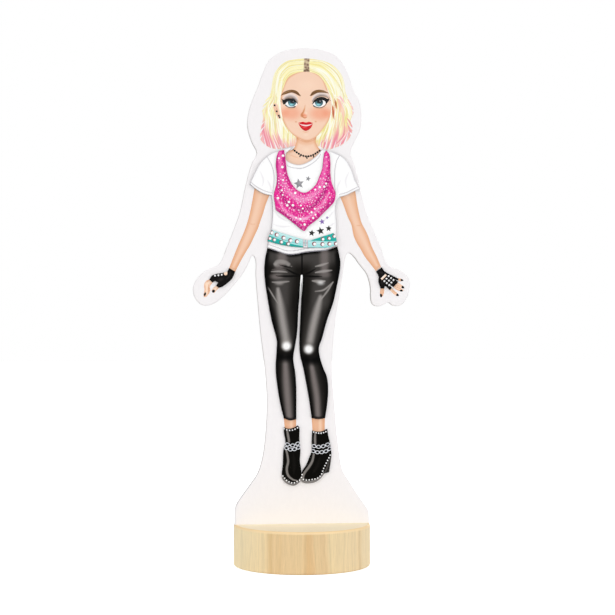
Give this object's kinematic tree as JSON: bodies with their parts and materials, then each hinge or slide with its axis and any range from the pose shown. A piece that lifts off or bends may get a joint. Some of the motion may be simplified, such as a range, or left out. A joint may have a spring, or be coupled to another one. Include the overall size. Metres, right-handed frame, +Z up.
{
  "type": "magnetic dress-up doll",
  "caption": "Flat standing paper doll on a slotted wooden disc, with a steel-backed board that holds thin printed magnetic clothes.",
  "frame": {"origin": "under the middle of the wooden disc, on the surface that the doll stands on", "axes": "+Z up along the doll, -Y is the way that the doll looks, +X to the right of someone who looks at the doll"},
  "size_m": [0.1055, 0.066, 0.25],
  "materials": {
    "pine": "planed and sanded pale pine, uncoated",
    "grey_board": "cut edge of pressed grey board",
    "steel": "thin cold-rolled sheet",
    "white_paper": "off-white coated paper, satin",
    "skin_ink": "satin print",
    "suit_ink": "satin print",
    "hair_ink": "satin print",
    "face_ink": "satin print",
    "black_ink": "satin print",
    "magnet": "black flexible magnet sheet, matt",
    "tshirt_film": "white printed film, satin",
    "scarf_film": "magenta printed film with a sequin pattern",
    "belt_film": "teal printed film with drawn studs",
    "black_film": "black printed film drawn as shiny leather"
  },
  "bodies": {
    "base": {"base_disc": "pine"},
    "board": {"core_board": "grey_board", "steel_sheet": "steel", "front_sheet": "white_paper", "back_sheet": "white_paper", "skin_print": "skin_ink", "undersuit_print": "suit_ink", "hair_print": "hair_ink", "face_print": "face_ink", "necklace_print": "black_ink"},
    "tshirt": {"tshirt_magnet": "magnet", "tshirt_print": "tshirt_film"},
    "scarf": {"scarf_magnet": "magnet", "scarf_print": "scarf_film"},
    "belt": {"belt_magnet": "magnet", "belt_print": "belt_film"},
    "leggings": {"leggings_magnet": "magnet", "leggings_print": "black_film"},
    "boots": {"boots_magnet": "magnet", "boots_print": "black_film"},
    "left_glove": {"left_glove_magnet": "magnet", "left_glove_print": "black_film"},
    "right_glove": {"right_glove_magnet": "magnet", "right_glove_print": "black_film"}
  },
  "joints": [
    {"name": "board_lift", "type": "slide", "parent": "base", "child": "board", "axis": [0, 0, 1], "range_m": [0, 0.014]},
    {"name": "tshirt_pull", "type": "slide", "parent": "board", "child": "tshirt", "axis": [0, -1, 0], "range_m": [0, 0.03]},
    {"name": "scarf_pull", "type": "slide", "parent": "tshirt", "child": "scarf", "axis": [0, -1, 0], "range_m": [0, 0.03]},
    {"name": "belt_pull", "type": "slide", "parent": "tshirt", "child": "belt", "axis": [0, -1, 0], "range_m": [0, 0.03]},
    {"name": "leggings_pull", "type": "slide", "parent": "board", "child": "leggings", "axis": [0, -1, 0], "range_m": [0, 0.03]},
    {"name": "boots_pull", "type": "slide", "parent": "board", "child": "boots", "axis": [0, -1, 0], "range_m": [0, 0.03]},
    {"name": "left_glove_pull", "type": "slide", "parent": "board", "child": "left_glove", "axis": [0, -1, 0], "range_m": [0, 0.03]},
    {"name": "right_glove_pull", "type": "slide", "parent": "board", "child": "right_glove", "axis": [0, -1, 0], "range_m": [0, 0.03]}
  ]
}
